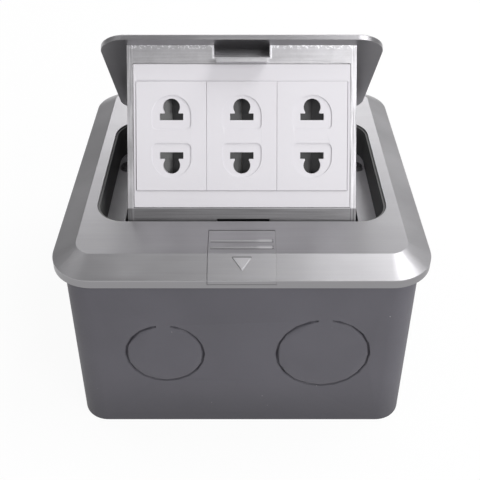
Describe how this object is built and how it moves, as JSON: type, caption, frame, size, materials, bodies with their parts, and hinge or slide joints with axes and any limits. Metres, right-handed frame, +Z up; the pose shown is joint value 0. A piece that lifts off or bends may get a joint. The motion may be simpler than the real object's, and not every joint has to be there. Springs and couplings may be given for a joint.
{
  "type": "floor socket box",
  "caption": "Floor box with a sprung pop-up lid that carries shuttered socket modules, a bevelled floor frame with a slide button, and a deep metal back box.",
  "frame": {"origin": "centre of the back box's underside", "axes": "+Z up out of the floor, -Y towards the front where the slide button is, +X to the right seen from the front; the lid stands open"},
  "size_m": [0.12, 0.12, 0.1256],
  "materials": {
    "frame_steel": "satin plate, brushed",
    "lid_steel": "satin plate, brushed",
    "box_steel": "dark grey galvanised steel",
    "carrier_metal": "light brushed metal",
    "slider_steel": "plain steel",
    "pin_steel": "ground and polished",
    "spring_steel": "drawn wire",
    "zinc_screw": "zinc plated",
    "brass": "bright",
    "white_plastic": "smooth white",
    "shutter_plastic": "smooth dark grey",
    "base_plastic": "moulded, matt",
    "black_rubber": "matt"
  },
  "bodies": {
    "base": {"back_box": "box_steel", "box_seal": "black_rubber", "floor_frame": "frame_steel", "frame_gasket": "black_rubber", "frame_screws": "zinc_screw", "hinge_pin": "pin_steel", "pin_clips": "spring_steel", "hinge_springs": "spring_steel", "latch_guide": "slider_steel", "guide_screws": "zinc_screw", "latch_springs": "spring_steel", "earth_washer": "brass", "earth_screw": "brass"},
    "popup": {"lid": "lid_steel", "socket_carrier": "carrier_metal", "lid_screws": "zinc_screw", "module_frame": "white_plastic", "terminal_screws": "brass", "module_face_1": "white_plastic", "shutter_springs_1": "spring_steel", "contacts_1": "brass", "module_base_1": "base_plastic", "module_face_2": "white_plastic", "shutter_springs_2": "spring_steel", "contacts_2": "brass", "module_base_2": "base_plastic", "module_face_3": "white_plastic", "shutter_springs_3": "spring_steel", "contacts_3": "brass", "module_base_3": "base_plastic"},
    "latch": {"latch_button": "frame_steel", "latch_slider": "slider_steel", "latch_screw": "zinc_screw"},
    "left_leaf_1": {"shutter_left_1": "shutter_plastic"},
    "right_leaf_1": {"shutter_right_1": "shutter_plastic"},
    "left_leaf_2": {"shutter_left_2": "shutter_plastic"},
    "right_leaf_2": {"shutter_right_2": "shutter_plastic"},
    "left_leaf_3": {"shutter_left_3": "shutter_plastic"},
    "right_leaf_3": {"shutter_right_3": "shutter_plastic"}
  },
  "joints": [
    {"name": "lid_hinge", "type": "hinge", "parent": "base", "child": "popup", "pos_m": [0, 0.0345, 0.069], "axis": [1, 0, 0], "range_deg": [0, 51], "stiffness_Nm_per_rad": 0.21, "springref_deg": -24.24, "deforming": ["hinge_springs"]},
    {"name": "latch_slide", "type": "slide", "parent": "base", "child": "latch", "axis": [0, -1, 0], "range_m": [0, 0.004], "stiffness_N_per_m": 300, "springref_m": -0.003, "deforming": ["latch_springs"]},
    {"name": "left_leaf_slide_1", "type": "slide", "parent": "popup", "child": "left_leaf_1", "axis": [-1, 0, 0], "range_m": [0, 0.0028], "stiffness_N_per_m": 60, "springref_m": -0.002, "deforming": ["shutter_springs_1"]},
    {"name": "right_leaf_slide_1", "type": "slide", "parent": "popup", "child": "right_leaf_1", "axis": [1, 0, 0], "range_m": [0, 0.0028]},
    {"name": "left_leaf_slide_2", "type": "slide", "parent": "popup", "child": "left_leaf_2", "axis": [-1, 0, 0], "range_m": [0, 0.0028], "stiffness_N_per_m": 60, "springref_m": -0.002, "deforming": ["shutter_springs_2"]},
    {"name": "right_leaf_slide_2", "type": "slide", "parent": "popup", "child": "right_leaf_2", "axis": [1, 0, 0], "range_m": [0, 0.0028]},
    {"name": "left_leaf_slide_3", "type": "slide", "parent": "popup", "child": "left_leaf_3", "axis": [-1, 0, 0], "range_m": [0, 0.0028], "stiffness_N_per_m": 60, "springref_m": -0.002, "deforming": ["shutter_springs_3"]},
    {"name": "right_leaf_slide_3", "type": "slide", "parent": "popup", "child": "right_leaf_3", "axis": [1, 0, 0], "range_m": [0, 0.0028]}
  ],
  "couplings": [
    {"joint": "right_leaf_slide_1", "follows": "left_leaf_slide_1", "ratio": 1},
    {"joint": "right_leaf_slide_2", "follows": "left_leaf_slide_2", "ratio": 1},
    {"joint": "right_leaf_slide_3", "follows": "left_leaf_slide_3", "ratio": 1}
  ]
}
